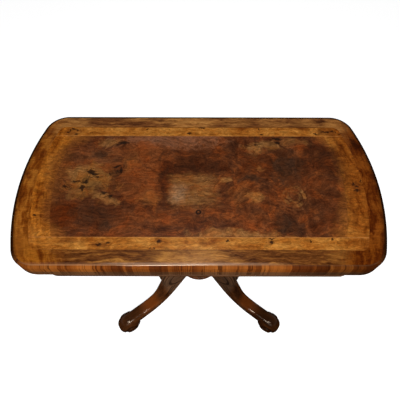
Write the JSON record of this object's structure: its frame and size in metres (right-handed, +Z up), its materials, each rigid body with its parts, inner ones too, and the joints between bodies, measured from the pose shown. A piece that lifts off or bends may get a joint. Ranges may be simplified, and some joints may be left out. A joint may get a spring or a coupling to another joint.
{
  "type": "games table",
  "caption": "Fold-over walnut games table: a swivelling top of hinged leaves with bowed ends, over a frieze with a storage well, on a turned pillar with splayed scroll-footed legs.",
  "frame": {"origin": "on the floor, under the middle of the closed table", "axes": "+X along the length of the top, +Y from front to back (the hinges are at the back), +Z up"},
  "size_m": [0.92, 0.4621, 0.735],
  "materials": {
    "figured_walnut": "French-polished figured walnut veneer, quarter matched",
    "walnut_golden_band": "French-polished golden walnut banding",
    "walnut_dark_band": "French-polished straight-grained walnut banding",
    "walnut_crossgrain": "French-polished cross-grained walnut moulding",
    "walnut": "French-polished dark walnut",
    "secondary_wood": "planed, unpolished",
    "baize": "green wool baize",
    "lining": "dull red lining cloth",
    "brass": "aged brass",
    "iron": "black iron",
    "steel": "dull steel"
  },
  "bodies": {
    "stand": {"front_rail": "walnut", "back_rail": "walnut", "left_rail": "walnut", "right_rail": "walnut", "frame_corner_blocks": "walnut", "frieze_bead": "walnut", "frame_bottom_board": "secondary_wood", "well_partition": "secondary_wood", "well_lining": "lining", "pivot_board": "secondary_wood", "pivot_board_ledges": "secondary_wood", "slide_cloths": "baize", "pillar_bearer": "walnut", "bearer_screws": "steel", "pillar_capital": "walnut", "pillar_shaft": "walnut", "pillar_hub": "walnut", "hub_drop": "walnut", "leg_front_left": "walnut", "leg_front_right": "walnut", "leg_back_left": "walnut", "leg_back_right": "walnut", "leg_dowels": "secondary_wood"},
    "lower_leaf": {"lower_lipping": "walnut_crossgrain", "lower_core": "secondary_wood", "lower_baize": "baize", "left_hinge_lower_plate": "brass", "right_hinge_lower_plate": "brass", "left_hinge_pin": "brass", "right_hinge_pin": "brass", "lower_hinge_screws": "brass", "pivot_plate": "iron", "pivot_plate_screws": "steel", "pivot_stud": "iron", "pivot_washer": "iron", "pivot_nut": "iron", "stop_peg": "secondary_wood"},
    "upper_leaf": {"upper_lipping": "walnut_crossgrain", "upper_core": "secondary_wood", "outer_banding": "walnut_dark_band", "inner_banding": "walnut_golden_band", "centre_panel_veneer": "figured_walnut", "upper_baize": "baize", "left_hinge_upper_plate": "brass", "right_hinge_upper_plate": "brass", "upper_hinge_screws": "brass"}
  },
  "joints": [
    {"name": "top_swivel", "type": "hinge", "parent": "stand", "child": "lower_leaf", "pos_m": [0.11445, 0.11445, 0.67], "axis": [0, 0, 1], "range_deg": [0, 90]},
    {"name": "leaf_fold", "type": "hinge", "parent": "lower_leaf", "child": "upper_leaf", "pos_m": [0, 0.2289, 0.7097], "axis": [-1, 0, 0], "range_deg": [0, 180]}
  ]
}
